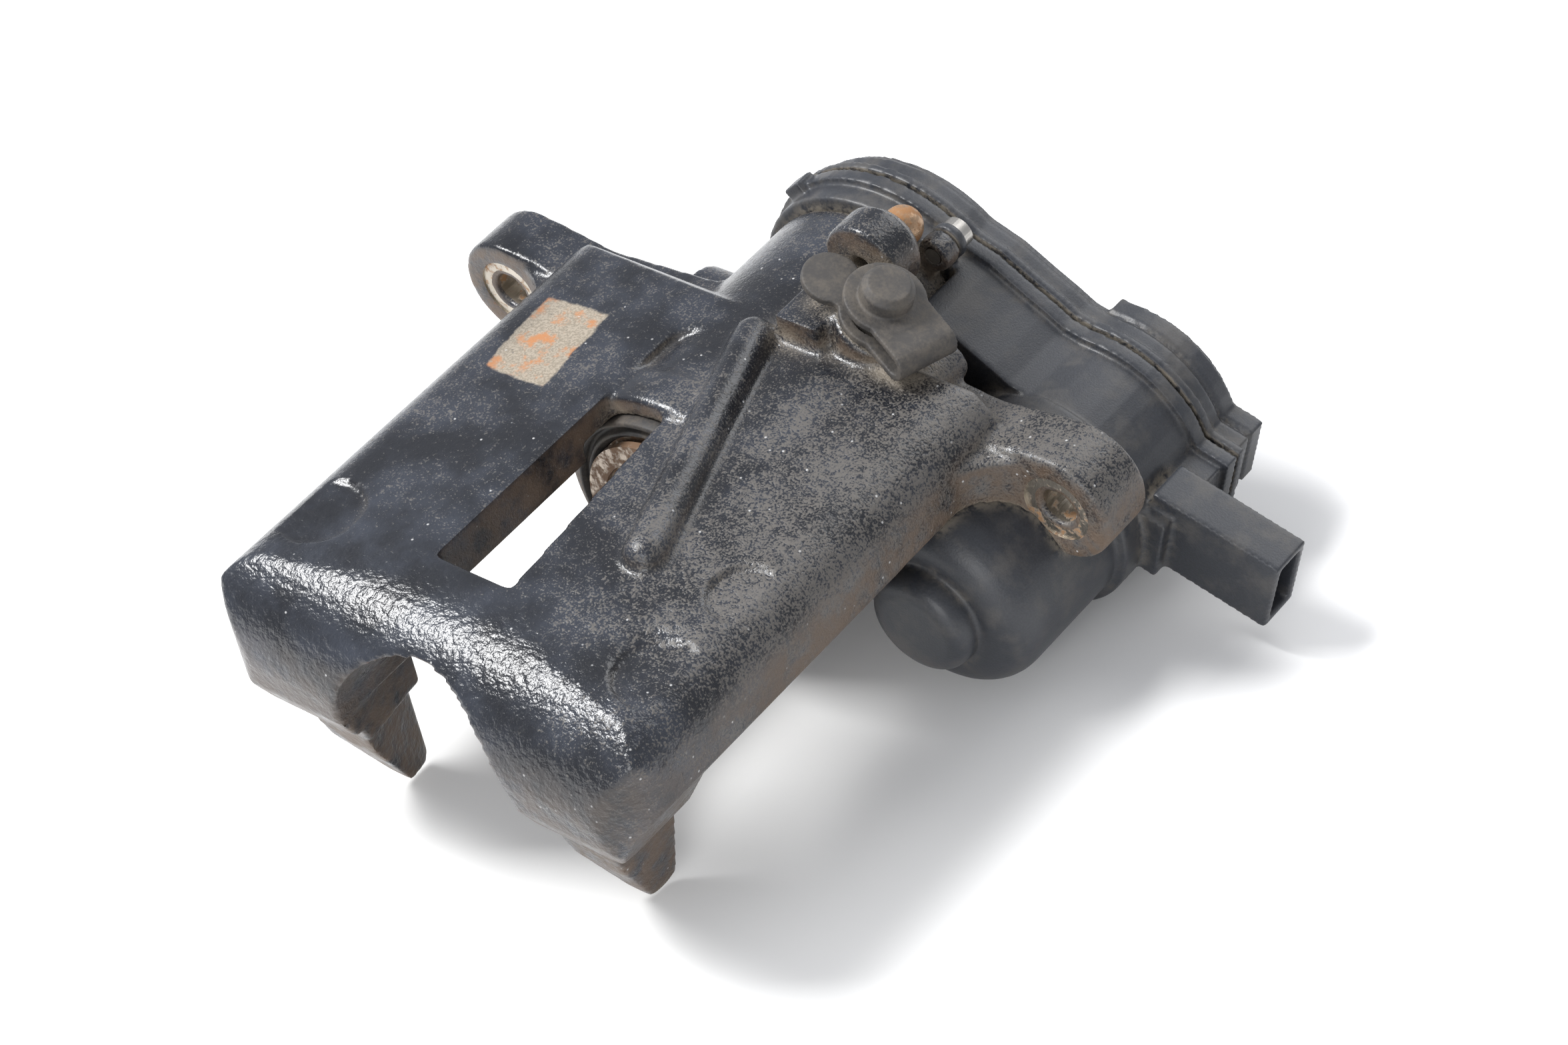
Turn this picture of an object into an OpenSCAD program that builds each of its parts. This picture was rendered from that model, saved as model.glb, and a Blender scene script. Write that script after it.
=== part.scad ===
// Floating rear brake caliper with an electric parking brake actuator.
// Millimetres. The piston axis runs along Y, the claw is at -Y, the actuator at +Y.
// The origin lies midway between the two guide pin holes, on their machined seats.

/* [Guide pin ears] */
// Distance between the two guide pin holes
pin_pitch = 152; // [140:0.4:184]
// Diameter of a guide pin bolt hole
pin_hole_d = 8.6; // [8:0.1:10.5]
// Radius of an ear's round end
ear_r = 13; // [11.5:0.5:15]
// Thickness of an ear along the pin
ear_t = 14; // [11:0.5:17]
// Depth of the machined seat below the cast ear
seat_depth = 0.6; // [0.3:0.1:1.5]
// Radius of the machined seat
seat_r = 8; // [7:0.25:10]

/* [Cylinder] */
// Bore diameter of the cylinder
bore_d = 43; // [35.5:0.1:46]
// Height of the piston axis above the pin holes, negative is below
bore_z = -7.5; // [-12:0.5:-4]
// Wall around the bore
bore_wall = 8.5; // [7:0.5:11]
// Outer end of the cylinder, where the boot sits
mouth_y = -34; // [-38:0.5:-30]
// Inner bottom of the bore
bottom_y = 25; // [23:0.5:28]
// Rear face that carries the actuator
rear_y = 38; // [36:0.5:40]
// Travel of the piston
travel = 12; // [8:0.5:14]
// Length of the piston
piston_l = 48; // [44:0.5:50]

/* [Bridge and claw] */
// Half the width of the bridge
bridge_half = 59; // [54:0.2:71]
// Top of the bridge above the pin holes
bridge_top = 22; // [20:0.5:27]
// Height of the bridge's underside over the disc
under_top = 10.5; // [8:0.5:13]
// Radius of the underside, which follows the disc
under_r = 150; // [130:1:170]
// Outer face of the claw
claw_y = -119; // [-128:0.5:-114]
// Inner face of the claw, where the outer pad rests
claw_in_y = -92; // [-96:0.5:-88]
// Outer radius of the bend from bridge to claw
bend_r = 22; // [16:0.5:24]
// Lowest point of the finger tips
tip_z = -46; // [-52:0.5:-42]
// Radius of the notch between the fingers
notch_r = 24; // [22:0.5:27]

/* [Window and rib] */
// Width of the window at the claw end
window_w = 20.5; // [14:0.5:26]
// Width of the window at the cylinder end
window_w_in = 14; // [8:0.5:20]
// Left edge of the window
window_x = -13.5; // [-18:0.5:-10]
// Outer end of the window
window_out_y = -90; // [-94:0.5:-80]
// Inner end of the window
window_in_y = -8; // [-16:0.5:-4]
// Radius of the rib beside the window
rib_r = 4.8; // [4:0.2:6]

/* [Spindle drive] */
// Thread diameter of the spindle
thread_d = 12; // [10:0.5:14]
// Diameter of the spindle shaft through the cylinder bottom
shaft_d = 14; // [12:0.1:17]
// Diameter of the spindle flange
flange_d = 29; // [25:0.5:31]
// Wall of the piston skirt
skirt_wall = 4.5; // [3.5:0.25:5.5]
// Thickness of the piston crown
crown_t = 8; // [6:0.5:10]

/* [Actuator] */
// Distance from the spindle axis to the motor axis
motor_offset = 56.4; // [56.4:0.1:58]
// Tilt of the actuator about the spindle axis
actuator_tilt = 16; // [0:1:30]
// Radius of the big lobe of the gearbox
lobe_r = 32.5; // [32:0.5:36]
// Radius of the small lobe, round the motor
small_lobe_r = 24.5; // [24:0.25:28]
// Plane where cover and housing meet
seam_y = 47; // [46:0.25:50]
// Outer face of the cover
cover_y = 58.25; // [57.25:0.25:69]
// How far the cover stands out further over the motor
bulge_l = 3.25; // [1:0.25:6]
// Wall of the plastic housing
wall = 2.5; // [2:0.1:3]
// Outer radius of the motor barrel
barrel_r = 23; // [22.2:0.1:24]
// Front shoulder of the motor barrel
barrel_y = -20; // [-28:0.5:-12]
// How far the round nose stands out of the barrel
nose_l = 6.5; // [4:0.5:9]

/* [Gears] */
// Module of the sun, planets, idler wheel and motor pinion
mod_fine = 0.8; // [0.8:0.1:0.8]
// Module of the output gear and the idler pinion
mod_coarse = 1; // [1:0.1:1]
// Teeth of the motor pinion
pinion_z = 12; // [12:1:12]
// Teeth of the idler's large wheel
idler_z = 44; // [44:1:44]
// Teeth of the idler's small pinion
idler_small_z = 14; // [14:1:14]
// Teeth of the output gear
output_z = 54; // [54:1:54]
// Teeth of the sun gear
sun_z = 12; // [12:1:12]
// Teeth of each planet gear
planet_z = 18; // [18:1:18]

/* [Bleeding and hose] */
// Tilt of the bleed screw towards the motor side
bleed_tilt = 23; // [10:1:30]
// Radius of the brake hose port
port_r = 5; // [4:0.25:6]
// Radius of the bleed screw thread
bleed_r = 5; // [4:0.25:5.5]

/* [Fits] */
// Radial clearance of a running fit
run = 0.05; // [0.02:0.01:0.1]
// Clearance between two pieces that only sit side by side
gap = 0.2; // [0.1:0.05:0.4]

/* [Hidden] */
$fn = 64;

iron = [0.12, 0.12, 0.13];
steel = [0.62, 0.6, 0.57];
rubber = [0.16, 0.15, 0.15];
plastic = [0.2, 0.2, 0.22];
nylon = [0.85, 0.83, 0.76];

bore_r = bore_d / 2;
cylinder_r = bore_r + bore_wall;
piston_r = bore_r - run;
piston_y = mouth_y - 4.5;
hollow_r = piston_r - skirt_wall;
crown_y = piston_y + crown_t;
seal_w = 3.2;
seal_y = mouth_y + 10;
seal_depth = 3.2;
boot_l = 7;
boot_r = 26.4;
corner_r = 16;
parting_z = -15;
finger_step = 1.4;
thread_r = thread_d / 2;
shaft_r = shaft_d / 2;
flange_r = flange_d / 2;
washer_t = 3;
bearing_t = 4;
flange_t = 3;
bearing_y = bottom_y - washer_t - bearing_t;
flange_y = bearing_y - flange_t;
tip_y = crown_y + 2.5;
spline_r = 5;
snout_r = 16.5;
snout_l = 3;
bolt_r = 38;
bolt_angle = 53;
bolt_head_r = 3.5;
bolt_lug_r = 4.2;
lug_l = 5;
bolt_hole_r = 2;
ear_plate_t = 2.4;
floor_y = rear_y + 2;
block_x = 85.5;
block_low = -5.5;
block_high = 11.5;
body_y = 24;
block_y = 22;
flange_lip = 1.6;
lip_y = seam_y - 3.5;
cup_r = barrel_r - wall;
can_r = cup_r - gap;
cup_y = barrel_y + 5.5;
can_y = cup_y + 0.5;
can_end_y = 35;
motor_room = 0.4;
connector_l = 26;
connector_high = 15;
connector_low = -5;
connector_y = 25.5;
connector_t = 10.6;
connector_wall = 1.8;
bridge_round = 12;
arm_low = -13;
boss_x = 16.5;
boss_z = 29.5;
boss_r = 9.7;
boss_end_y = 29;
plug_r = 4.6;
pin_chamfer = 0.2;
nipple_x = 28;
nipple_y = 8;
nipple_z = 26.4;
strap_turn = -16;
strap_l = 13;
strap_w = 15;
strap_t = 1.8;
strap_low = 0.8;
strap_high = 6.4;
nipple_boss_r = 9.5;
hex_r = 6;
port_y = 22;
port_x = -40;
port_boss_r = 10;
stage_y = floor_y + 2;
stage_t = 4;
output_y = stage_y + stage_t + 0.4;
output_t = 4;
wheel_y = output_y + output_t + 0.4;
wheel_t = 3.5;
spline_y = floor_y + 0.2;
spline_end_y = stage_y - 0.2;
ring_z = sun_z + 2 * planet_z;
planet_x = mod_fine * (sun_z + planet_z) / 2;
idler_x = mod_coarse * (output_z + idler_small_z) / 2;
backlash = 0.12;
pin_r = 2;
axle_r = 2.5;
axle_end_y = cover_y - wall + 1.2;
carrier_r = 20;
carrier_t = 1.5;
planet_count = 3;

// points of an arc round (cx, cy), from angle a0 to angle a1
function arc(cx, cy, r, a0, a1, n = 10) =
  [for (i = [0 : n]) let (a = a0 + (a1 - a0) * i / n) [cx + r * cos(a), cy + r * sin(a)]];

// an outline drawn in X and Z, filled between two heights on Y
module slab(y0, y1) {
  translate([0, y1, 0]) rotate([90, 0, 0]) linear_extrude(y1 - y0) children();
}

// a round bar along Y
module rod(y0, y1, r) {
  translate([0, y0, 0]) rotate([-90, 0, 0]) cylinder(h = y1 - y0, r = r);
}

// a round bar along Y that tapers from one radius to the other
module cone(y0, y1, r0, r1) {
  translate([0, y0, 0]) rotate([-90, 0, 0]) cylinder(h = y1 - y0, r1 = r0, r2 = r1);
}

module tube(y0, y1, r_out, r_in) {
  difference() {
    rod(y0, y1, r_out);
    rod(y0 - 1, y1 + 1, r_in);
  }
}

// the piston axis
module at_bore() {
  translate([0, 0, bore_z]) children();
}

// the actuator's own frame: X runs from the spindle axis to the motor axis
module at_actuator() {
  translate([0, 0, bore_z]) rotate([0, actuator_tilt, 0]) children();
}

module at_motor() {
  at_actuator() translate([motor_offset, 0, 0]) children();
}

// the bleed screw's own frame: Z points out of the casting
module at_bleed() {
  translate([nipple_x, nipple_y, nipple_z]) rotate([0, bleed_tilt, 0]) children();
}

module at_bolts() {
  for (a = [bolt_angle, bolt_angle + 180])
    translate([bolt_r * cos(a), 0, bore_z + bolt_r * sin(a)]) children();
}

// ---- casting ----

// side view of bridge and upper claw, as Y and Z
function side_outline() = concat(
  [[mouth_y + 40, bridge_top - 4], [mouth_y + 36, bridge_top], [claw_y + bend_r + 6, bridge_top]],
  arc(claw_y + bend_r, bridge_top - bend_r, bend_r, 90, 180, 12),
  [[claw_y + 1, -8], [claw_y + 4.5, parting_z], [claw_y + 10, parting_z - 2], [claw_in_y, parting_z - 2],
    [claw_in_y, -6], [mouth_y + 40, -6]]);

// front view of bridge and upper claw, as X and Z, right half
function front_half() = concat(
  [[0, -40], [40, -40], [bridge_half - 12, parting_z - 3], [bridge_half - 4, -4], [bridge_half, 1]],
  arc(bridge_half - bridge_round, bridge_top - bridge_round - 2, bridge_round, 0, 80, 8),
  [[0, bridge_top + 1.5]]);

module front_outline() {
  for (side = [0, 1]) mirror([side, 0]) polygon(front_half());
}

// plan view, with the claw's two corners rounded
module plan_outline() {
  corner_x = bridge_half - corner_r;
  polygon(concat([[-bridge_half - 1, 20], [-bridge_half - 1, claw_y + corner_r + 4]],
    arc(-corner_x, claw_y + corner_r, corner_r + 0.5, 190, 268, 8),
    arc(corner_x, claw_y + corner_r, corner_r + 0.5, 272, 350, 8),
    [[bridge_half + 1, claw_y + corner_r + 4], [bridge_half + 1, 20]]));
}

module claw_and_bridge() {
  intersection() {
    translate([-100, 0, 0]) rotate([90, 0, 90]) linear_extrude(200) polygon(side_outline());
    slab(claw_y - 5, mouth_y + 45) front_outline();
    translate([0, 0, -60]) linear_extrude(120) plan_outline();
  }
  fingers();
  rib();
}

// the two fingers below the parting line
module fingers() {
  for (side = [0, 1]) mirror([side, 0, 0]) intersection() {
    slab(claw_y - 5, claw_in_y + 5) polygon([[notch_r - 4, -6], [notch_r, -27], [notch_r + 6, tip_z + 2],
      [notch_r + 9, tip_z], [notch_r + 12.5, tip_z], [notch_r + 14, tip_z + 3], [notch_r + 18, -24], [notch_r + 19, -6]]);
    translate([-100, 0, 0]) rotate([90, 0, 90]) linear_extrude(200) polygon([
      [claw_y + 4 + finger_step, -6], [claw_y + 5 + finger_step, parting_z], [claw_y + 10, -27], [claw_y + 19, tip_z + 1.5],
      [claw_y + 22, tip_z], [claw_in_y - 2, tip_z], [claw_in_y, tip_z + 2], [claw_in_y, -6]]);
  }
}

// notch between the fingers, wider towards the pad below its round top
module notch() {
  translate([0, 0, -8]) {
    rod(claw_y - 1, claw_in_y + 1, notch_r);
    notch_wedge(-12, 4);
    notch_wedge(-50, 9);
  }
}

module notch_wedge(low, flare) {
  y0 = claw_y - 1;
  y1 = claw_in_y + 1;
  high = low < -12 ? -12 : 0;
  translate([0, 0, low]) linear_extrude(high - low)
    polygon([[0.5 - notch_r, y0], [notch_r - 0.5, y0], [notch_r + flare, y1], [-notch_r - flare, y1]]);
}

// raised round rib on the motor side of the window
module rib() {
  rib_l = 67;
  translate([4, window_in_y + 2.5, bridge_top]) rotate([0, 0, -161]) rotate([-90, 0, 0]) rotate_extrude()
    polygon(concat(arc(0, 0, rib_r, -90, 0, 6), arc(0, rib_l, rib_r, 0, 90, 6)));
}

module window() {
  round_r = window_w_in / 2;
  translate([0, 0, -40]) linear_extrude(80) union() {
    polygon([[window_x, window_out_y], [window_x + window_w, window_out_y],
      [window_x + window_w_in, window_in_y - round_r], [window_x, window_in_y - round_r]]);
    translate([window_x + round_r, window_in_y - round_r]) circle(r = round_r);
  }
}

// space for the disc and both pads, under the bridge
module pad_space() {
  slab(claw_in_y, mouth_y) union() {
    translate([0, under_top - under_r]) circle(r = under_r, $fn = 180);
    translate([-100, -100]) square([200, 100 + under_top - 12]);
  }
}

module shallow_recess(x, y, r) {
  translate([x, y, bridge_top - 2.2]) cylinder(h = 10, r = r);
}

// one ear with its arm, on the +X side
module ear() {
  half = pin_pitch / 2;
  slab(0, ear_t) union() {
    translate([half, 0]) circle(r = ear_r);
    polygon([[0, arm_low - 6], [0, bridge_top - 6], [28, ear_r - 0.5], [bridge_half - 5, ear_r - 3],
      [half - 4, ear_r - 0.2], [half, -ear_r + 0.5], [half - 10, arm_low + 3], [half - 24, arm_low + 3], [30, arm_low - 6]]);
  }
}

// fillet in plan between the bridge's side and the arm, on the +X side
module arm_fillet() {
  fillet_r = 15;
  cx = bridge_half - 1 + fillet_r;
  translate([0, 0, arm_low]) linear_extrude(ear_r - 3 - arm_low)
    polygon(concat([[bridge_half - 12, 2], [bridge_half - 12, -fillet_r]],
      arc(cx, -fillet_r, fillet_r, 180, 95, 8), [[cx, 2]]));
}

module ear_cuts() {
  half = pin_pitch / 2;
  for (x = [-half, half]) translate([x, 0, 0]) {
    rod(-10, ear_t + 1, pin_hole_d / 2);
    cone(-0.01, pin_chamfer, pin_hole_d / 2 + pin_chamfer, pin_hole_d / 2);
    rod(-10, 0, seat_r);
  }
}

// the ear's cast skin stands a little proud of the machined seat
module ear_faces() {
  half = pin_pitch / 2;
  for (x = [-half, half]) translate([x, 0, 0]) rod(-seat_depth, 1, ear_r);
}

// fluid boss on the top of the cylinder, with its cross drilling plugged at the rear
module fluid_boss() {
  front_y = 17.5;
  web_w = boss_r + 3;
  translate([boss_x, 0, boss_z]) union() {
    rotate([-90, 0, 0]) rotate_extrude()
      polygon([[0, front_y], [boss_r, front_y], [boss_r, boss_end_y - 3], [boss_r - 3, boss_end_y], [0, boss_end_y]]);
    rotate([0, 10, 0]) translate([1 - boss_r, front_y + 0.6, -24]) cube([web_w, boss_end_y - 4.5 - front_y, 24]);
    translate([1.5 - boss_r, -3, -24]) cube([web_w - 1, front_y + 5, 23]);
  }
}

// small cast boss beside the cylinder, over the motor side arm
module side_boss() {
  translate([38, 0, 13]) rod(7, 17, 5);
}

module bleed_boss() {
  at_bleed() translate([0, 0, -26]) cylinder(h = 26, r = nipple_boss_r);
}

module hose_boss() {
  translate([port_x, port_y, bore_z]) rotate([0, 90, 0])
    cylinder(h = -port_x - bore_r - 1, r = port_boss_r);
}

// lugs for the actuator bolts, each with a web down to the cylinder
module bolt_lugs() {
  at_bolts() rod(rear_y - lug_l, rear_y - 0.2, bolt_lug_r);
  for (a = [bolt_angle, bolt_angle + 180]) at_bore() rotate([0, -a, 0])
    translate([cylinder_r - 4, rear_y - lug_l + 0.5, -3]) cube([bolt_r - cylinder_r + 4, lug_l - 1, 6]);
}

module cylinder_body() {
  collar = cylinder_r + 1.5;
  at_bore() rotate([-90, 0, 0]) rotate_extrude() polygon([[0, mouth_y], [collar - 1, mouth_y], [collar, mouth_y + 1],
    [collar, mouth_y + 9], [cylinder_r, mouth_y + 13], [cylinder_r, rear_y - 1], [cylinder_r - 1, rear_y], [0, rear_y]]);
}

// everything that is machined into the cylinder
module cylinder_cuts() {
  at_bore() {
    rod(mouth_y - 1, bottom_y, bore_r);
    rod(seal_y, seal_y + seal_w, bore_r + seal_depth);
    rod(mouth_y - 10, mouth_y + boot_l - 2.5, boot_r);
    rod(piston_y - travel - 1, mouth_y, bore_r + 0.6);
    rod(bottom_y - 1, rear_y + 1, shaft_r + run);
    rod(rear_y - snout_l - gap, rear_y + 1, snout_r + gap);
    tube(rear_y - 1, rear_y + 1, cylinder_r - 1.9, snout_r + 2.9);
  }
}

module fluid_cuts() {
  translate([boss_x, 0, boss_z]) {
    rod(10, 40, 2);
    rod(boss_end_y - 5, 40, plug_r - 0.5);
  }
  at_bleed() {
    translate([0, 0, -24]) cylinder(h = 40, r = 1.5);
    translate([0, 0, -11]) cylinder(h = 30, r = bleed_r + run);
  }
  translate([port_x - 1, port_y, bore_z]) rotate([0, 90, 0]) {
    cylinder(h = 14, r = port_r);
    cylinder(h = 30, r = 2);
  }
}

module caliper_housing() {
  color(iron) difference() {
    union() {
      difference() {
        claw_and_bridge();
        pad_space();
        window();
        notch();
        for (side = [-1, 1]) shallow_recess(side * 47, window_out_y - 0.5, 10);
        shallow_recess(50, window_out_y + 24, 8.4);
      }
      cylinder_body();
      ear();
      mirror([1, 0, 0]) ear();
      arm_fillet();
      mirror([1, 0, 0]) arm_fillet();
      ear_faces();
      fluid_boss();
      bleed_boss();
      hose_boss();
      bolt_lugs();
      side_boss();
    }
    cylinder_cuts();
    ear_cuts();
    fluid_cuts();
    at_motor() rod(barrel_y - nose_l - 4, rear_y + 1, barrel_r + motor_room);
    at_bolts() rod(rear_y - lug_l - 1, rear_y + 1, bolt_hole_r);
  }
}

// ---- cylinder internals ----

module piston() {
  color(steel) at_bore() difference() {
    rod(piston_y, piston_y + piston_l, piston_r);
    rod(crown_y, piston_y + piston_l + 1, hollow_r);
    rod(piston_y - 1, piston_y + 1.6, piston_r - 4.5);
    for (a = [0, 180]) rotate([0, a, 0]) nut_key(gap, 0);
    boot_groove();
  }
}

// groove in the piston wall for the boot's lip
module boot_groove() {
  tube(piston_y + 2, piston_y + 4, piston_r + 1, piston_r - 1);
}

// key on the nut, or with clearance the slot for it
module nut_key(clear, drop) {
  translate([hollow_r - 4, crown_y + drop - clear, -2 - clear])
    cube([4 + 1.5 + clear, 9 + (clear > 0 ? piston_l : 0), 4 + 2 * clear]);
}

module piston_seal() {
  color(rubber) at_bore() tube(seal_y + 0.1, seal_y + seal_w - 0.1, bore_r + seal_depth - 0.1, piston_r + run);
}

module dust_boot() {
  color(rubber) at_bore() difference() {
    union() {
      rod(mouth_y - 2.6, mouth_y + boot_l - 2.6, boot_r - run);
    }
    rod(mouth_y - 4, mouth_y + boot_l, piston_r + run);
    tube(mouth_y - 4, mouth_y - 0.8, boot_r - 1.6, piston_r + 1.5);
  }
}

module spindle() {
  color(steel) at_bore() difference() {
    union() {
      rod(tip_y, flange_y + 1, thread_r);
      rod(flange_y, flange_y + flange_t, flange_r);
      rod(flange_y + 1, spline_y - 0.3, shaft_r);
      slab(spline_y - 0.5, spline_end_y) circle(r = spline_r, $fn = 6);
    }
    tube(rear_y + 0.2, rear_y + 1.4, shaft_r + 1, shaft_r - 1);
  }
}

module spindle_nut() {
  nut_y = crown_y + 0.5;
  color(steel) at_bore() difference() {
    union() {
      rod(nut_y, nut_y + 8, hollow_r - gap);
      rod(nut_y, nut_y + 22, thread_r + 5);
      for (a = [0, 180]) rotate([0, a, 0]) intersection() {
        nut_key(0, 0.5);
        rod(nut_y, nut_y + 8, hollow_r + 1.2);
      }
    }
    rod(nut_y - 1, nut_y + 30, thread_r + run);
  }
}

module thrust_bearing() {
  roller_r = 1.5;
  ring_r = (shaft_r + flange_r) / 2 + 0.2;
  color(steel) at_bore() {
    difference() {
      tube(bearing_y + 0.6, bearing_y + bearing_t - 0.6, flange_r - 0.4, shaft_r + 0.5);
      for (a = [0 : 36 : 324]) rotate([0, a, 0]) translate([ring_r, 0, 0])
        rod(bearing_y, bearing_y + bearing_t, roller_r + 0.1);
    }
    for (a = [0 : 36 : 324]) rotate([0, a, 0]) translate([ring_r, 0, 0])
      rod(bearing_y + 0.05, bearing_y + bearing_t - 0.05, roller_r);
  }
}

module thrust_washer() {
  color(steel) at_bore() tube(bottom_y - washer_t, bottom_y, flange_r + 0.3, shaft_r + 0.3);
}

// ring in the cylinder bottom that keeps the fluid in round the shaft
module spindle_seal() {
  color(rubber) at_bore() tube(rear_y - snout_l - gap, rear_y - gap, snout_r - 3.5, shaft_r + run);
}

module spindle_circlip() {
  color(steel) at_bore() difference() {
    tube(rear_y + 0.3, rear_y + 1.3, shaft_r + 1.6, shaft_r - 0.9);
    translate([-1.5, rear_y, 0]) cube([3, 4, 20]);
  }
}

// ---- bleeding ----

module bleed_screw() {
  nipple_top = 11;
  color(steel) at_bleed() difference() {
    union() {
      translate([0, 0, -10]) cylinder(h = 10.7, r = bleed_r);
      translate([0, 0, 0.6]) cylinder(h = 4.6, r = hex_r, $fn = 6);
      translate([0, 0, 5]) cylinder(h = 4, r = 3);
      translate([0, 0, 8.8]) cylinder(h = nipple_top - 8.8, r1 = 3.8, r2 = 3);
    }
    translate([0, 0, -4]) cylinder(h = nipple_top + 5, r = 0.9);
  }
}

// rubber cap: a dome over the nipple, on a strap that folds back under it
module bleed_cap() {
  dome_top = 13;
  color(rubber) at_bleed() difference() {
    union() {
      translate([0, 0, strap_high]) cylinder(h = dome_top - 1.5 - strap_high, r = 5.8);
      translate([0, 0, dome_top - 1.5]) cylinder(h = 1.5, r1 = 5.8, r2 = 4.6);
      translate([0, 0, strap_high]) strap_upper();
      translate([0, 0, strap_low]) strap_lower();
      strap_fold();
    }
    translate([0, 0, -1]) cylinder(h = strap_high, r = hex_r + 0.6);
    translate([0, 0, 4]) cylinder(h = dome_top - 5.6, r = 4.1);
  }
}

// plate round the dome
module strap_upper() {
  linear_extrude(strap_t) circle(r = 9);
}

// plate round the nipple's foot, with a round tab on the far side
module strap_lower() {
  tab_x = -13.2;
  linear_extrude(strap_t) union() {
    circle(r = 9);
    translate([tab_x, 0]) circle(r = 6.5);
    translate([tab_x, -5]) square([-tab_x, 10]);
  }
}

// the band that runs from the upper plate round the fold and back to the lower one
module strap_fold() {
  fold_r = (strap_high + strap_t - strap_low) / 2;
  mid = strap_low + fold_r;
  root = 5;
  inset = 0.15;
  rotate([0, 0, strap_turn]) translate([0, strap_w / 2, 0]) rotate([90, 0, 0]) linear_extrude(strap_w) polygon(concat(
    [[root, strap_low + inset]], arc(strap_l, mid, fold_r - inset, -90, 90, 10), [[root, strap_high + strap_t - inset]],
    [[root, strap_high + inset]], arc(strap_l, mid, fold_r - strap_t + inset, 90, -90, 10), [[root, strap_low + strap_t - inset]]));
}

module drilling_plug() {
  color([0.6, 0.42, 0.25]) translate([boss_x, 0, boss_z]) union() {
    rod(boss_end_y - 4.8, boss_end_y + 3, plug_r - 0.5 - run);
    translate([0, boss_end_y + 3.4, 0]) sphere(r = plug_r);
  }
}

// ---- actuator ----

// upper or lower half of the gearbox outline, from the big lobe to the block
function gearbox_half(grow, block_z) =
  let (big = lobe_r + grow, small = small_lobe_r + grow, waist = small_lobe_r - 1.8 + grow, m = motor_offset)
  let (meet = asin((block_z + grow) / small))
  concat(arc(0, 0, big, 180, 64, 14), [[22, big - 3.8], [31, big - 6.4], [37, waist + 1.9], [42, waist + 0.3], [47, waist + 0.4]],
    arc(m, 0, small, 100, meet, 8), [[block_x + grow, block_z + grow]]);

module gearbox_outline(grow) {
  upper = gearbox_half(grow, block_high);
  lower = [for (p = gearbox_half(grow, -block_low)) [p[0], -p[1]]];
  last = len(lower) - 1;
  polygon(concat(upper, [for (i = [0 : last - 1]) lower[last - i]]));
}

// the deep part of the housing, round the idler and the motor, with a skirt beside the cylinder
module deep_outline(grow) {
  skirt_x = 17;
  difference() {
    intersection() {
      gearbox_outline(grow);
      translate([skirt_x - grow, -60]) square([100, 120]);
    }
    circle(r = cylinder_r + 0.6 - grow);
  }
}

module actuator_housing() {
  color(plastic) at_actuator() difference() {
    union() {
      difference() {
        housing_outside();
        slab(floor_y, seam_y + 1) gearbox_outline(-wall);
        slab(body_y + wall, floor_y + 1) deep_outline(-wall);
        rod(rear_y - snout_l - 1, floor_y + 1, snout_r - 3);
      }
      translate([idler_x, 0, 0]) rod(body_y + wall - 0.5, stage_y, pin_r + 2);
    }
    translate([motor_offset, 0, 0]) rod(cup_y, floor_y + 1, cup_r);
    translate([idler_x, 0, 0]) rod(stage_y - 6, stage_y + 1, pin_r);
    connector_socket();
    gearbox_bolts() rod(rear_y - 20, seam_y + 4, bolt_hole_r + 0.3);
  }
}

module housing_outside() {
  slab(body_y, seam_y) deep_outline(0);
  slab(rear_y + 0.1, seam_y) gearbox_outline(0);
  slab(lip_y, seam_y) gearbox_outline(flange_lip);
  translate([motor_offset, 0, 0]) motor_barrel();
  slab(block_y, rear_y) translate([motor_offset + 14, block_low])
    square([block_x - motor_offset - 14, block_high - block_low]);
  connector_shell();
  rod(rear_y - snout_l + 0.1, rear_y + 0.5, snout_r);
  bolt_ears();
}

// the bolt places, seen from the actuator's frame
module gearbox_bolts() {
  rotate([0, -actuator_tilt, 0]) translate([0, 0, -bore_z]) at_bolts() children();
}

// ears on the outside of the gearbox, one over each lug of the casting
module bolt_ears() {
  gearbox_bolts() rod(rear_y + 0.1, rear_y + ear_plate_t, bolt_lug_r);
  for (a = [bolt_angle, bolt_angle + 180]) rotate([0, -a - actuator_tilt, 0])
    translate([lobe_r - 2, rear_y + 0.1, -4]) cube([bolt_r - lobe_r + 2, ear_plate_t - 0.1, 8]);
  rotate([0, -132 - actuator_tilt, 0]) translate([lobe_r - 1, lip_y - 2, -3]) cube([4, 5, 6]);
}

// motor barrel with a rounded shoulder and a round nose
module motor_barrel() {
  shoulder = 9;
  collar_r = small_lobe_r + 0.6;
  rotate([-90, 0, 0]) rotate_extrude() polygon(concat(
    [[0, barrel_y - nose_l]],
    arc(12.5 - 4, barrel_y - nose_l + 4, 4, 270, 360, 5),
    [[12.5, barrel_y]],
    arc(barrel_r - shoulder, barrel_y + shoulder, shoulder, 270, 360, 8),
    [[barrel_r, ear_t + 0.8], [collar_r, ear_t + 1.6], [collar_r, body_y + 1], [0, body_y + 1]]));
}

module connector_shell() {
  translate([block_x - 6, connector_y, connector_low])
    cube([connector_l + 6, connector_t, connector_high - connector_low]);
}

module connector_socket() {
  translate([block_x + 6, connector_y + connector_wall, connector_low + connector_wall])
    cube([connector_l, connector_t - 2 * connector_wall,
      connector_high - connector_low - 2 * connector_wall]);
}

module connector_pins() {
  pin_t = 0.8;
  color([0.8, 0.7, 0.35]) at_actuator() for (z = [1, 9])
    translate([block_x + 6, connector_y + connector_t / 2 - pin_t / 2, z]) cube([11, pin_t, 2.8]);
}

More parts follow.
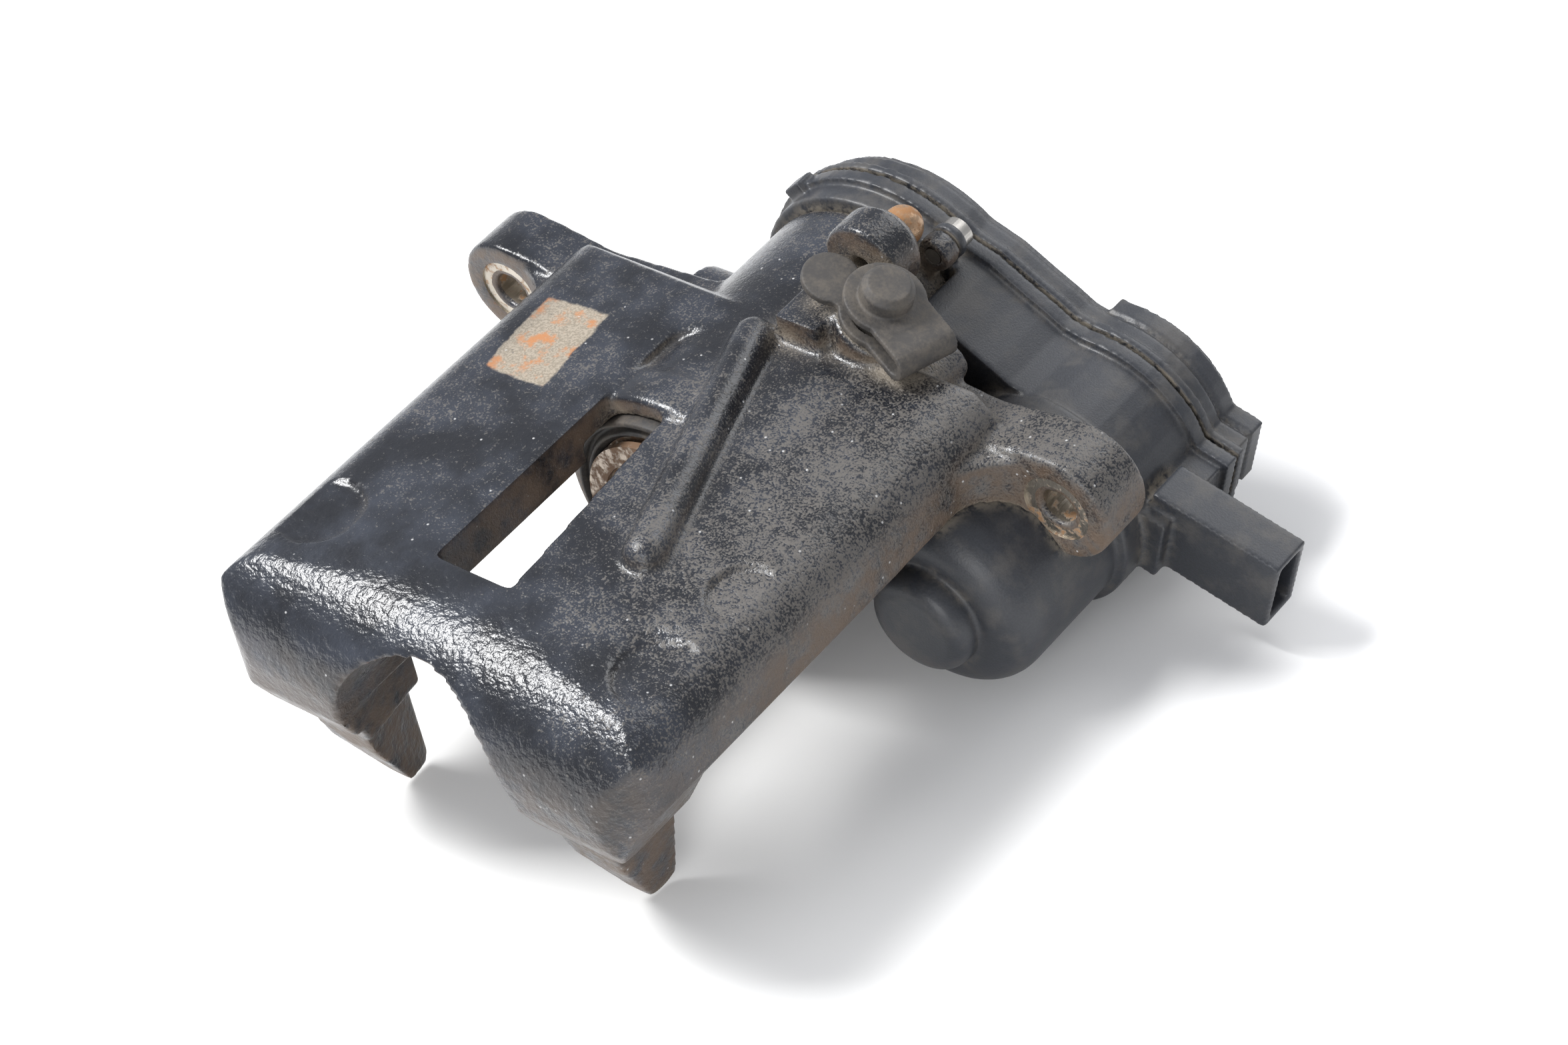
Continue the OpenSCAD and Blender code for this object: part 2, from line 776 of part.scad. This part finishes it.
// the part of the gearbox outline that lies over the motor
module bulge_outline(grow) {
  intersection() {
    gearbox_outline(grow);
    translate([idler_x + 12 - grow, -60]) square([100, 120]);
  }
}

module actuator_cover() {
  color(plastic) at_actuator() difference() {
    union() {
      slab(seam_y + 1, seam_y + 3) gearbox_outline(flange_lip);
      slab(seam_y + 1, cover_y - 4) gearbox_outline(0);
      slab(seam_y + 1, cover_y - 2.2) gearbox_outline(-1);
      slab(seam_y + 1, cover_y - 0.9) gearbox_outline(-2.3);
      slab(seam_y + 1, cover_y) gearbox_outline(-4);
      slab(cover_y - wall, cover_y + bulge_l - 1.4) bulge_outline(-0.2);
      slab(cover_y - wall, cover_y + bulge_l) bulge_outline(-1.8);
    }
    slab(seam_y, cover_y - wall) gearbox_outline(-wall - 1);
    rod(seam_y, axle_end_y, axle_r);
    translate([idler_x, 0, 0]) rod(seam_y, axle_end_y, pin_r);
  }
}

module cover_gasket() {
  color(rubber) at_actuator() slab(seam_y, seam_y + 1) difference() {
    gearbox_outline(-0.4);
    gearbox_outline(-wall);
  }
}

module actuator_seal() {
  color(rubber) at_bore() tube(rear_y - 0.9, rear_y, cylinder_r - 2, snout_r + 3);
}

module actuator_bolts() {
  color(steel) at_bolts() union() {
    rod(rear_y - lug_l + 0.2, rear_y + ear_plate_t + 0.1, bolt_hole_r - run);
    rod(rear_y + ear_plate_t, rear_y + ear_plate_t + 2.6, bolt_head_r);
  }
}

// ---- motor and gears ----

module motor_can() {
  color(steel) at_motor() difference() {
    rod(can_y, can_end_y, can_r);
    rod(can_y + 1.5, can_end_y - 1.5, can_r - 1.8);
    rod(can_y - 1, can_end_y + 1, 5);
  }
}

module motor_bearings() {
  color([0.7, 0.5, 0.3]) at_motor() {
    tube(can_y + 0.1, can_y + 4, 5 - run, 1.6 + run);
    tube(can_end_y - 4, can_end_y - 0.1, 5 - run, 1.6 + run);
  }
}

module motor_rotor() {
  slots = 12;
  color(steel) at_motor() union() {
    rod(can_y + 0.2, wheel_y + wheel_t, 1.6);
    difference() {
      rod(can_y + 10, can_end_y - 12, 14);
      for (i = [1 : slots]) rotate([0, i * 360 / slots, 0]) translate([12.5, can_y, -0.8])
        cube([4, 60, 1.6]);
    }
    rod(can_end_y - 11.5, can_end_y - 5, 5);
  }
}

// one spur gear between two heights; phase turns it by a share of a tooth
module gear(z, m, y0, y1, phase = 0, grow = 0) {
  r = m * z / 2;
  half = 90 / z - (backlash / 2 - grow) / r * 57.3;
  points = [for (i = [0 : z - 1]) let (a = 360 * (i + phase) / z)
    each [[r - 1.25 * m + grow, a - half * 1.55], [r, a - half], [r + 0.95 * m + grow, a - half * 0.5],
      [r + 0.95 * m + grow, a + half * 0.5], [r, a + half], [r - 1.25 * m + grow, a + half * 1.55]]];
  slab(y0, y1) polygon([for (p = points) [p[0] * cos(p[1]), p[0] * sin(p[1])]]);
}

module motor_pinion() {
  color(steel) at_motor() difference() {
    gear(pinion_z, mod_fine, wheel_y, wheel_y + wheel_t, 0.5);
    rod(wheel_y - 1, wheel_y + wheel_t + 1, 1.6);
  }
}

module idler_gear() {
  color(nylon) at_actuator() translate([idler_x, 0, 0]) difference() {
    union() {
      gear(idler_small_z, mod_coarse, output_y, wheel_y + 0.2, 0);
      gear(idler_z, mod_fine, wheel_y, wheel_y + wheel_t, 0);
    }
    rod(output_y - 1, wheel_y + wheel_t + 1, pin_r + run);
  }
}

module idler_axle() {
  color(steel) at_actuator() translate([idler_x, 0, 0]) rod(stage_y - 5.8, axle_end_y, pin_r);
}

module output_gear() {
  color(nylon) at_actuator() difference() {
    union() {
      gear(sun_z, mod_fine, stage_y, output_y + 0.2);
      gear(output_z, mod_coarse, output_y, output_y + output_t, 0.5);
      rod(output_y, output_y + output_t + 0.4, 8);
    }
    rod(stage_y - 1, output_y + 20, axle_r + run);
  }
}

module output_axle() {
  color(steel) at_actuator() rod(stage_y, axle_end_y, axle_r);
}

module ring_gear() {
  color(nylon) at_actuator() difference() {
    rod(stage_y, stage_y + stage_t, lobe_r - wall - 2);
    gear(ring_z, mod_fine, stage_y - 1, stage_y + stage_t + 1, 0.5, backlash);
  }
}

module planet_carrier() {
  color(steel) at_actuator() difference() {
    rod(stage_y - carrier_t - 0.3, stage_y - 0.3, carrier_r);
    rotate([0, -actuator_tilt, 0]) slab(stage_y - carrier_t - 1, stage_y + 1) circle(r = spline_r + run, $fn = 6);
    for (i = [0 : planet_count - 1]) rotate([0, 360 * i / planet_count, 0])
      translate([planet_x, 0, 0]) rod(stage_y - 9, stage_y + 1, pin_r);
  }
}

module planet_pins() {
  color(steel) at_actuator() for (i = [0 : planet_count - 1]) rotate([0, 360 * i / planet_count, 0])
    translate([planet_x, 0, 0]) rod(stage_y - carrier_t - 0.3, stage_y + stage_t, pin_r);
}

module planet_gear(i) {
  color(nylon) at_actuator() rotate([0, 360 * i / planet_count, 0]) translate([planet_x, 0, 0]) difference() {
    gear(planet_z, mod_fine, stage_y, stage_y + stage_t - 0.2, 0.5);
    rod(stage_y - 1, stage_y + stage_t + 1, pin_r + run);
  }
}

module planet_gear_1() { planet_gear(0); }
module planet_gear_2() { planet_gear(1); }
module planet_gear_3() { planet_gear(2); }

caliper_housing();
piston();
piston_seal();
dust_boot();
spindle();
spindle_nut();
thrust_bearing();
thrust_washer();
spindle_seal();
spindle_circlip();
bleed_screw();
bleed_cap();
drilling_plug();
actuator_housing();
actuator_cover();
cover_gasket();
actuator_seal();
actuator_bolts();
motor_can();
motor_bearings();
motor_rotor();
motor_pinion();
idler_gear();
idler_axle();
output_gear();
output_axle();
ring_gear();
planet_carrier();
planet_pins();
planet_gear_1();
planet_gear_2();
planet_gear_3();
connector_pins();
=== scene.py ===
import math

import bmesh
import bpy
from mathutils import Matrix, Vector


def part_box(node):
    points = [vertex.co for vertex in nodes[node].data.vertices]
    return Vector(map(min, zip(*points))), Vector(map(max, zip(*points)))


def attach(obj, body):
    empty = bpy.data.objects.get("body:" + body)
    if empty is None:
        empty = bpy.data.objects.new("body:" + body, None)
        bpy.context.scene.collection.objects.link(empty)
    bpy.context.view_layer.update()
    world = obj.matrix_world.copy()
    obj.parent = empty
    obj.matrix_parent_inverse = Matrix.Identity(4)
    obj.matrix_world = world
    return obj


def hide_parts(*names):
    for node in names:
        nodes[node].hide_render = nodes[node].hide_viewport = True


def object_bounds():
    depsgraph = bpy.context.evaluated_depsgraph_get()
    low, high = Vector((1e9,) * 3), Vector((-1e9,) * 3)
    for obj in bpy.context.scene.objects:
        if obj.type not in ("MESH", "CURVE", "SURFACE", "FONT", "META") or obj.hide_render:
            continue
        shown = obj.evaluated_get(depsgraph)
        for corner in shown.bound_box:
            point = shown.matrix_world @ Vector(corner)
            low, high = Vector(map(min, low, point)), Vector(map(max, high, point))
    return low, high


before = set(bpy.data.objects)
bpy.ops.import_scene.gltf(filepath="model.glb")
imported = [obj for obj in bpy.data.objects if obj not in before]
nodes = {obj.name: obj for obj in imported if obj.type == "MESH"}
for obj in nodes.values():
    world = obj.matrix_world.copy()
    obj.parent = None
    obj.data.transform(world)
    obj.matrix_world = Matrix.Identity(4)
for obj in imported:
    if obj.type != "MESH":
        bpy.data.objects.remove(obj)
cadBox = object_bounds()
print("frame loaded with", len(nodes), "nodes")

mm = 0.001
boreHeight = -7.5 * mm  # the piston's axis runs along y at this height


# a socket that takes part in Python arithmetic
class Wire:
    def __init__(self, finish, socket):
        self.finish = finish
        self.socket = socket

    def maths(self, operation, other, swapped=False):
        first, second = (other, self) if swapped else (self, other)
        return self.finish.node("ShaderNodeMath", {"operation": operation}, {0: first, 1: second})

    def __add__(self, other):
        return self.maths("ADD", other)

    def __radd__(self, other):
        return self.maths("ADD", other)

    def __sub__(self, other):
        return self.maths("SUBTRACT", other)

    def __rsub__(self, other):
        return self.maths("SUBTRACT", other, True)

    def __mul__(self, other):
        return self.maths("MULTIPLY", other)

    def __rmul__(self, other):
        return self.maths("MULTIPLY", other)

    def __pow__(self, other):
        return self.maths("POWER", other)

    def __abs__(self):
        return self.finish.node("ShaderNodeMath", {"operation": "ABSOLUTE"}, {0: self})

    def atMost(self, other):
        return self.maths("MINIMUM", other)


# one material, made from its surface shader backwards
class Finish:
    def __init__(self, name):
        self.material = bpy.data.materials.new(name)
        self.material.use_nodes = True
        self.tree = self.material.node_tree
        self.shader = self.tree.nodes["Principled BSDF"]
        self.place = self.node("ShaderNodeTexCoord", output="Object")
        self.x, self.y, self.z = self.parts(self.place)

    # settings come first, then values or links go into the sockets
    def node(self, kind, settings=None, sockets=None, output=0):
        made = self.tree.nodes.new(kind)
        for key, value in (settings or {}).items():
            setattr(made, key, value)
        for key, value in (sockets or {}).items():
            self.feed(made.inputs[key], value)
        return Wire(self, made.outputs[output])

    def feed(self, socket, value):
        if isinstance(value, Wire):
            self.tree.links.new(value.socket, socket)
        elif isinstance(value, tuple) and len(value) == 3 and socket.type == "RGBA":
            socket.default_value = (*value, 1)
        else:
            socket.default_value = value

    def parts(self, vector):
        return [self.node("ShaderNodeSeparateXYZ", {}, {0: vector}, axis) for axis in range(3)]

    def geometry(self, output):
        return self.node("ShaderNodeNewGeometry", output=output)

    def mix(self, amount, first, second):
        return self.node("ShaderNodeMix", {"data_type": "RGBA"}, {0: amount, 6: first, 7: second}, 2)

    # smooth step from 0 at low to 1 at high
    def step(self, value, low, high):
        spread = {"Value": value, "From Min": low, "From Max": high}
        return self.node("ShaderNodeMapRange", {"interpolation_type": "SMOOTHSTEP"}, spread)

    # size is the length of one patch in metres
    def patches(self, size, detail=3, roughness=0.55):
        values = {"Vector": self.place, "Scale": 1 / size, "Detail": detail, "Roughness": roughness}
        return self.node("ShaderNodeTexNoise", {}, values)

    def stones(self, size, output="Distance"):
        return self.node("ShaderNodeTexVoronoi", {}, {"Vector": self.place, "Scale": 1 / size}, output)

    # how deep a point lies in a corner, 0 in the open
    def corner(self, reach):
        return 1 - self.node("ShaderNodeAmbientOcclusion", {"samples": 6}, {"Distance": reach}, "AO")

    def edge(self, low, high):
        return self.step(self.geometry("Pointiness"), low, high)

    def surface(self, colour, roughness, metallic=0.0, height=None, depth=0.0002, strength=1.0):
        self.feed(self.shader.inputs["Base Color"], colour)
        self.feed(self.shader.inputs["Roughness"], roughness)
        self.feed(self.shader.inputs["Metallic"], metallic)
        if height is not None:
            values = {"Height": height, "Distance": depth, "Strength": strength}
            self.feed(self.shader.inputs["Normal"], self.node("ShaderNodeBump", {}, values))
        return self.material


def castPaintFinish():
    user = {
        "paint": (0.007, 0.008, 0.011),
        "sheen": (0.024, 0.028, 0.038),
        "dust": (0.25, 0.215, 0.17),
        "film": (0.098, 0.089, 0.079),
        "grime": (0.098, 0.064, 0.040),
        "rust": (0.16, 0.068, 0.026),
        "fresh": (0.30, 0.13, 0.05),
        "bare": (0.17, 0.145, 0.11),
        "speck": (0.42, 0.42, 0.42),
    }
    f = Finish("cast_paint")
    grain = f.patches(1.6 * mm, 2)
    fine = f.patches(0.5 * mm, 2)
    cloud = f.patches(16 * mm, 4)
    blotch = f.patches(6 * mm, 5, 0.65)
    up = f.parts(f.geometry("Normal"))[2]
    low = 1 - f.step(f.z, -24 * mm, 4 * mm)
    wall = 1 - f.step(up, -0.1, 0.55)
    rear = f.step(f.y, -100 * mm, -60 * mm)
    brown = ((low * 0.55 + wall * (0.35 + rear * 0.5)) * f.step(blotch, 0.30, 0.60)).atMost(1)
    settled = f.step(f.corner(8 * mm) + cloud * 0.35, 0.36, 0.80) * f.step(fine + blotch, 0.72, 1.12)
    motorSide = f.step(f.x, -20 * mm, 60 * mm)
    bendFace = f.step(-1 * f.y, 84 * mm, 104 * mm)
    exposed = motorSide * 0.17 + rear * 0.07 - bendFace * 0.08
    sandy = f.step(grain * 0.35 + fine * 0.8 + cloud * 0.40 + exposed, 0.90, 1.06)
    worn = f.edge(0.545, 0.60) * f.step(blotch, 0.44, 0.60)
    pick = f.parts(f.stones(2.6 * mm, "Color"))[0]
    specks = (1 - f.step(f.stones(2.6 * mm), 0.05, 0.14)) * f.step(pick + motorSide * 0.25, 0.86, 0.92)
    # bare patch left by a part that rubbed on the bridge
    patch = {"x": 37.9 * mm, "y": 26 * mm, "slant": 0.106, "middle": 26.2 * mm, "fray": 3 * mm}
    across = abs(f.x + patch["x"] + (f.y + patch["y"]) * patch["slant"])
    along = abs(f.y + patch["middle"])
    frayed = (blotch - 0.5) * patch["fray"]
    rubbed = 1 - f.step(across + frayed, 8.2 * mm, 9.0 * mm)
    rubbed = rubbed * (1 - f.step(along + frayed, 11.8 * mm, 12.8 * mm))
    rubbed = rubbed * f.step(f.z, 19 * mm, 20.5 * mm) * f.step(grain + blotch, 0.55, 0.75)
    colour = f.mix(f.step(cloud, 0.35, 0.7), user["paint"], user["sheen"])
    colour = f.mix(sandy * 0.75, colour, user["film"])
    colour = f.mix(brown * 0.85, colour, user["grime"])
    colour = f.mix(settled * 0.8, colour, user["dust"])
    colour = f.mix(worn, colour, user["rust"])
    bare = f.mix(f.step(fine, 0.4, 0.6), user["bare"], user["dust"])
    colour = f.mix(rubbed, colour, f.mix(f.step(blotch, 0.46, 0.6), bare, user["fresh"]))
    colour = f.mix(specks * 0.8, colour, user["speck"])
    dull = (brown * 0.6 + settled * 0.8 + sandy * 0.45 + worn + rubbed + specks * 0.4).atMost(1)
    rough = 0.20 + grain * 0.12 + dull * 0.45
    height = grain * (0.35 + motorSide * 0.2 + bendFace * 0.6) + fine * 0.2 + dull * 0.12
    return f.surface(colour, rough, 0.0, height, 0.45 * mm, 0.8)


def machinedFinish(name, steel, rust, rustAmount, ringSize=0.35 * mm):
    f = Finish(name)
    blotch = f.patches(2.4 * mm, 5, 0.65)
    fine = f.patches(0.35 * mm, 2)
    cloud = f.patches(11 * mm, 3)
    rusted = f.step(blotch + cloud * 0.4, 0.95 - rustAmount * 0.45, 1.05 - rustAmount * 0.35)
    fromAxis = (f.x * f.x + (f.z - boreHeight) * (f.z - boreHeight)) ** 0.5
    rings = f.node("ShaderNodeMath", {"operation": "SINE"}, {0: fromAxis * (2 * math.pi / ringSize)})
    colour = f.mix(rusted, f.mix(f.step(cloud, 0.3, 0.7), steel, tuple(0.7 * v for v in steel)), rust)
    rough = 0.30 + fine * 0.12 + rusted * 0.42
    height = rings * 0.15 + fine * 0.3 + rusted * blotch
    return f.surface(colour, rough, 1 - rusted * 0.85, height, 0.10 * mm, 0.5)


def plasticFinish(name, colour, dust, dustAmount, roughness):
    f = Finish(name)
    grain = f.patches(0.45 * mm, 2)
    cloud = f.patches(9 * mm, 4)
    blotch = f.patches(2.2 * mm, 4, 0.7)
    settled = f.step(f.corner(4 * mm) + cloud * 0.4, 0.38, 0.80) * f.step(blotch, 0.36, 0.58)
    film = f.step(cloud + blotch * 0.4, 0.62, 0.92) * dustAmount
    scuff = f.edge(0.56, 0.64) * f.step(blotch, 0.5, 0.6)
    shade = f.mix(f.step(grain, 0.35, 0.65), colour, tuple(1.25 * v for v in colour))
    shade = f.mix((settled * 0.75 + film * 0.35).atMost(1), shade, dust)
    shade = f.mix(scuff * 0.5, shade, tuple(0.5 * v + 0.1 for v in colour))
    rough = roughness + settled * 0.2 + film * 0.15 + grain * 0.06
    return f.surface(shade, rough.atMost(1), 0.0, grain + settled * 0.3, 0.07 * mm, 0.6)


def rubberFinish(name, colour, dust, dustAmount):
    f = Finish(name)
    pores = f.patches(0.7 * mm, 3, 0.6)
    cloud = f.patches(5 * mm, 4)
    film = f.step(cloud + pores * 0.5, 0.60, 1.0) * dustAmount
    # painted shade: the rubber's colour is darkened in creases and hollows, wherever the ambient occlusion
    # finds a corner
    paintedCreaseShade = f.step(f.corner(2.5 * mm), 0.3, 0.8)
    shade = f.mix(film, colour, dust)
    shade = f.mix(paintedCreaseShade * 0.5, shade, tuple(0.45 * v for v in colour))
    return f.surface(shade, 0.62 + film * 0.25, 0.0, pores + cloud * 0.6, 0.12 * mm, 0.6)


finishes = {
    "cast": castPaintFinish(),
    "seat": machinedFinish("machined_seat", (0.46, 0.42, 0.36), (0.26, 0.15, 0.075), 0.55),
    "piston": machinedFinish("piston_face", (0.34, 0.29, 0.24), (0.13, 0.075, 0.042), 0.9),
    "plug": machinedFinish("press_plug", (0.38, 0.26, 0.17), (0.25, 0.125, 0.05), 0.8),
    "steel": machinedFinish("turned_steel", (0.52, 0.50, 0.47), (0.24, 0.14, 0.07), 0.15),
    "bronze": machinedFinish("sintered_bronze", (0.55, 0.38, 0.20), (0.30, 0.20, 0.11), 0.25),
    "contact": machinedFinish("plated_contact", (0.78, 0.66, 0.38), (0.50, 0.40, 0.22), 0.1),
    "shell": plasticFinish("actuator_plastic", (0.020, 0.022, 0.027), (0.20, 0.175, 0.14), 0.4, 0.40),
    "nylon": plasticFinish("gear_nylon", (0.62, 0.60, 0.53), (0.55, 0.50, 0.38), 0.2, 0.40),
    "cap": rubberFinish("cap_rubber", (0.036, 0.033, 0.031), (0.105, 0.09, 0.073), 0.6),
    "boot": rubberFinish("boot_rubber", (0.014, 0.013, 0.013), (0.10, 0.08, 0.06), 0.5),
    "gasket": rubberFinish("gasket_rubber", (0.010, 0.010, 0.011), (0.09, 0.075, 0.06), 0.3),
}
print("finishes made")


# a copy of a CAD node's mesh as a separate object, with every edge rounded as in a mould
def mouldedCopy(name, node, cell, rounds, finish):
    made = bpy.data.objects.new(name, nodes[node].data.copy())
    bpy.context.scene.collection.objects.link(made)
    made.data.materials.clear()
    remesh = made.modifiers.new("remesh", "REMESH")
    remesh.mode = "VOXEL"
    remesh.voxel_size = cell * 1
    remesh.use_smooth_shade = True
    smooth = made.modifiers.new("smooth", "SMOOTH")
    smooth.factor = 0.5
    smooth.iterations = rounds
    bake(made)
    made.data.materials.append(finish)
    return made


# turns an object's modifiers into its mesh
def bake(made):
    shown = bpy.context.evaluated_depsgraph_get()
    shown.update()
    mesh = bpy.data.meshes.new_from_object(made.evaluated_get(shown))
    made.modifiers.clear()
    made.data = mesh


# a turned body around a line along y
def turned(name, centre, profile, count, finish):
    grid = bmesh.new()
    rings = []
    for i in range(count):
        angle = 2 * math.pi * i / count
        side = Vector((math.cos(angle), 0, math.sin(angle)))
        rings.append([grid.verts.new(centre + side * r + Vector((0, y, 0))) for r, y in profile])
    for i, ring in enumerate(rings):
        after = rings[(i + 1) % count]
        for j in range(len(profile)):
            k = (j + 1) % len(profile)
            grid.faces.new((ring[j], ring[k], after[k], after[j]))
    bmesh.ops.recalc_face_normals(grid, faces=grid.faces)
    mesh = bpy.data.meshes.new(name)
    grid.to_mesh(mesh)
    grid.free()
    mesh.shade_smooth()
    mesh.materials.append(finish)
    made = bpy.data.objects.new(name, mesh)
    bpy.context.scene.collection.objects.link(made)
    return made


# a machining cut, whose walls take the cutter's own finish
def machine(made, centre, radius, start, end, finish):
    sides = 96
    inner = 0.01 * mm  # leaves a thin hole along the cutter's axis, which the weld closes
    weld = 0.03 * mm
    speck = 0.001 * mm
    profile = [(inner, start), (radius, start), (radius, end), (inner, end)]
    cutter = turned("cutter", centre, profile, sides, finish)
    capped = bmesh.new()
    capped.from_mesh(cutter.data)
    bmesh.ops.remove_doubles(capped, verts=capped.verts, dist=weld)
    bmesh.ops.dissolve_degenerate(capped, edges=capped.edges, dist=speck)
    bmesh.ops.recalc_face_normals(capped, faces=capped.faces)
    capped.to_mesh(cutter.data)
    capped.free()
    cut = made.modifiers.new("cut", "BOOLEAN")
    cut.operation = "DIFFERENCE"
    cut.solver = "EXACT"
    cut.material_mode = "TRANSFER"
    cut.object = cutter
    bake(made)
    bpy.data.objects.remove(cutter)


# a round flat pressed into the sloping top, which leaves a crescent on its higher side
def pressFlat(made, x, y, radius, lip, depth, topOnly):
    middle = 1.5 * mm  # the flat's height is taken from this much of its middle
    inside = [(v, math.hypot(v.co.x - x, v.co.y - y)) for v in made.data.vertices if v.co.z > topOnly]
    flat = max(v.co.z for v, away in inside if away < middle) - depth
    for v, away in inside:
        if away < radius and v.co.z > flat:
            share = min(1, (radius - away) / lip)
            v.co.z += (flat - v.co.z) * share


casting = {
    "cell": 0.75 * mm,
    "rounds": 7,
    "earSpan": 76 * mm,
    "earDepth": 14 * mm,
    "seatRadius": 8 * mm,
    "seatStart": -6 * mm,  # both cutters start in front of the ear's seat, which is at 0
    "pinRadius": 4.3 * mm,
    "pinStart": -5 * mm,
    "pinPast": 3 * mm,
    "flats": [(-46.3, -90, 10), (48.3, -92.8, 10), (49.4, -66.6, 8.4)],  # x, y and radius in mm
    "flatLip": 0.7 * mm,
    "flatDepth": 0.9 * mm,
    "flatsAbove": 5 * mm,
    "crispAngle": math.radians(45),
}
castBody = mouldedCopy("cast_body", "caliper_housing", casting["cell"], casting["rounds"], finishes["cast"])
for x, y, radius in casting["flats"]:
    pressFlat(castBody, x * mm, y * mm, radius * mm,
              casting["flatLip"], casting["flatDepth"], casting["flatsAbove"])
for side in (-1, 1):
    axis = Vector((side * casting["earSpan"], 0, 0))
    pinEnd = casting["earDepth"] + casting["pinPast"]
    machine(castBody, axis, casting["seatRadius"], casting["seatStart"], 0, finishes["seat"])
    machine(castBody, axis, casting["pinRadius"], casting["pinStart"], pinEnd, finishes["seat"])
castBody.data.set_sharp_from_angle(angle=casting["crispAngle"])  # keeps the machined edges crisp
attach(castBody, "housing")
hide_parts("caliper_housing")
print("casting made with", len(castBody.data.polygons), "faces")

shells = {"cell": 0.5 * mm, "rounds": 3}
for name, node in (("actuator_shell", "actuator_housing"), ("actuator_lid", "actuator_cover")):
    shell = mouldedCopy(name, node, shells["cell"], shells["rounds"], finishes["shell"])
    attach(shell, "housing")
    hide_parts(node)
print("actuator shells made")

cap = {"cell": 0.3 * mm, "rounds": 3}
capSkin = mouldedCopy("bleed_cap_skin", "bleed_cap", cap["cell"], cap["rounds"], finishes["cap"])
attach(capSkin, "bleed_cap")
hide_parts("bleed_cap")

# the boot shows two rings with a fold between them
boot = {
    "fold": [(26.3, 0.5), (25.9, 0), (25.3, 0), (24.9, 1.5), (24.4, 2.0), (23.9, 1.6), (23.5, 0.5),
             (23.0, 0.1), (22.6, 0.5), (22.2, 1.3), (21.7, 1.6)],  # radius and depth in mm
    "inner": 21.6 * mm,
    "outer": 26.3 * mm,
    "sides": 144,
}
bootLow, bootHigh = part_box("dust_boot")
front, back = bootLow[1], bootHigh[1]
bootProfile = [(r * mm, front + y * mm) for r, y in boot["fold"]]
bootProfile += [(boot["inner"], back), (boot["outer"], back)]
bootRing = turned("boot_fold", Vector((0, 0, boreHeight)), bootProfile, boot["sides"], finishes["boot"])
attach(bootRing, "housing")
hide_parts("dust_boot")
print("rubber made")

# every node that isn't named here is steel
nodeFinishes = {
    "piston": "piston", "drilling_plug": "plug", "motor_bearings": "bronze", "connector_pins": "contact",
    "piston_seal": "gasket", "spindle_seal": "gasket", "cover_gasket": "gasket",
    "actuator_seal": "gasket", "idler_gear": "nylon", "output_gear": "nylon", "ring_gear": "nylon",
    "planet_gear_1": "nylon", "planet_gear_2": "nylon", "planet_gear_3": "nylon",
}
for name, part in nodes.items():
    finish = finishes[nodeFinishes.get(name, "steel")]
    if len(part.data.materials) == 0:
        part.data.materials.append(finish)
    for i in range(len(part.data.materials)):
        part.data.materials[i] = finish
print("carried-over nodes finished")


# floor, light and camera
def stageFinish():
    f = Finish("floor_paper")
    cloud = f.patches(0.4, 2)
    colour = f.mix(f.step(cloud, 0.3, 0.7), (0.80, 0.80, 0.80), (0.83, 0.83, 0.82))
    return f.surface(colour, 0.85)


studio = {"floorCells": 4, "floorHalf": 4, "sky": (0.93, 0.95, 1.0, 1), "skyStrength": 0.62}
cells = studio["floorCells"]
floorGrid = bmesh.new()
bmesh.ops.create_grid(floorGrid, x_segments=cells, y_segments=cells, size=studio["floorHalf"])
floorMesh = bpy.data.meshes.new("floor")
floorGrid.to_mesh(floorMesh)
floorGrid.free()
floorMesh.materials.append(stageFinish())
floor = bpy.data.objects.new("floor", floorMesh)
floor.location.z = cadBox[0][2]
bpy.context.scene.collection.objects.link(floor)

lamps = {
    "overhead": {"at": (-0.55, -0.30, 0.95), "size": 0.42, "power": 22},
    "behind": {"at": (0.1, 1.1, 0.8), "size": 0.9, "power": 9},
    "front": {"at": (0.5, -1.1, 0.5), "size": 0.6, "power": 7},
}
for name, lamp in lamps.items():
    light = bpy.data.lights.new(name, "AREA")
    light.size = lamp["size"]
    light.energy = lamp["power"]
    made = bpy.data.objects.new(name, light)
    made.location = lamp["at"]
    made.rotation_euler = (-Vector(lamp["at"])).to_track_quat("-Z", "Y").to_euler()
    bpy.context.scene.collection.objects.link(made)

world = bpy.data.worlds.new("studio")
world.use_nodes = True
sky = world.node_tree.nodes["Background"]
sky.inputs["Color"].default_value = studio["sky"]
sky.inputs["Strength"].default_value = studio["skyStrength"]
bpy.context.scene.world = world

view = {
    "lens": 101.0,
    "right": (0.777, 0.609, -0.161),
    "ahead": (-0.540, 0.512, -0.667),
    "at": (524.6, -502.8, 614.5),
}
camera = bpy.data.cameras.new("camera")
camera.lens = view["lens"]
camera.sensor_width = 36
camera.clip_start = 0.05
cameraObject = bpy.data.objects.new("camera", camera)
right = Vector(view["right"]).normalized()
ahead = Vector(view["ahead"])
ahead = (ahead - right * ahead.dot(right)).normalized()
down = ahead.cross(right)
placing = Matrix((right, -down, -ahead)).transposed().to_4x4()
placing.translation = Vector(view["at"]) * mm
cameraObject.matrix_world = placing
bpy.context.scene.collection.objects.link(cameraObject)
bpy.context.scene.camera = cameraObject
bpy.context.scene.view_settings.view_transform = "Standard"
print("studio made")
